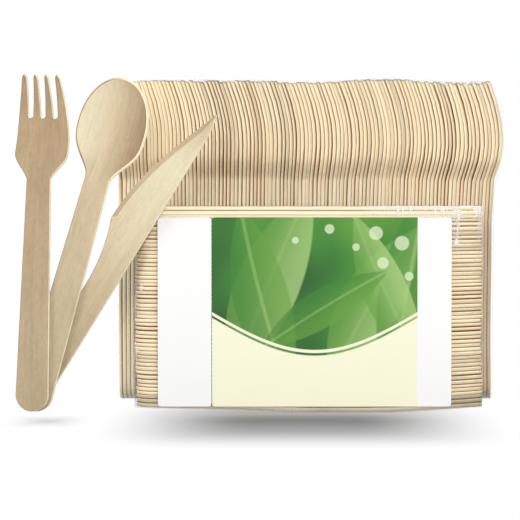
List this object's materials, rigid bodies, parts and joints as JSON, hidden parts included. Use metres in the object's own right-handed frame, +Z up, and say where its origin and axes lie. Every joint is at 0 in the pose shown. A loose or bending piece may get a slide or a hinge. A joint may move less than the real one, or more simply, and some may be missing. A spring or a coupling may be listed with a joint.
{
  "type": "wooden cutlery pack",
  "caption": "Disposable wooden cutlery pack: film-wrapped stacks of forks, knives and spoons with a blank label, and a loose fork, spoon and knife standing in front.",
  "frame": {"origin": "on the flat under the front bundle's film, in the middle of the bundle's length and depth", "axes": "+X right along the front bundle, +Y away from its labelled face, +Z up"},
  "size_m": [0.2393, 0.0848, 0.1621],
  "materials": {
    "stacked_forks": "bare sanded veneer edges",
    "stacked_knives": "bare sanded veneer edges",
    "stacked_spoons": "bare sanded veneer edges",
    "loose_wood": "bare smooth wood face",
    "clear_film": "clear shrink film",
    "white_paper": "smooth white label paper",
    "printed_paper": "glossy printed label paper"
  },
  "bodies": {
    "root": {"fork_bundle_01": "stacked_forks", "fork_bundle_02": "stacked_forks", "fork_bundle_03": "stacked_forks", "fork_bundle_04": "stacked_forks", "fork_bundle_05": "stacked_forks", "fork_bundle_06": "stacked_forks", "fork_bundle_07": "stacked_forks", "fork_bundle_08": "stacked_forks", "fork_bundle_09": "stacked_forks", "fork_bundle_10": "stacked_forks", "fork_bundle_11": "stacked_forks", "fork_bundle_12": "stacked_forks", "fork_bundle_13": "stacked_forks", "fork_bundle_14": "stacked_forks", "fork_bundle_15": "stacked_forks", "fork_bundle_16": "stacked_forks", "fork_bundle_17": "stacked_forks", "fork_bundle_18": "stacked_forks", "fork_bundle_19": "stacked_forks", "fork_bundle_20": "stacked_forks", "knife_bundle_01": "stacked_knives", "knife_bundle_02": "stacked_knives", "knife_bundle_03": "stacked_knives", "knife_bundle_04": "stacked_knives", "knife_bundle_05": "stacked_knives", "knife_bundle_06": "stacked_knives", "knife_bundle_07": "stacked_knives", "knife_bundle_08": "stacked_knives", "knife_bundle_09": "stacked_knives", "knife_bundle_10": "stacked_knives", "spoon_bundle_01": "stacked_spoons", "spoon_bundle_02": "stacked_spoons", "spoon_bundle_03": "stacked_spoons", "spoon_bundle_04": "stacked_spoons", "spoon_bundle_05": "stacked_spoons", "spoon_bundle_06": "stacked_spoons", "spoon_bundle_07": "stacked_spoons", "spoon_bundle_08": "stacked_spoons", "spoon_bundle_09": "stacked_spoons", "spoon_bundle_10": "stacked_spoons", "fork_wrap": "clear_film", "front_wrap": "clear_film", "white_sticker": "white_paper", "front_label": "printed_paper", "loose_fork": "loose_wood", "loose_spoon": "loose_wood", "loose_knife": "loose_wood"}
  },
  "joints": []
}
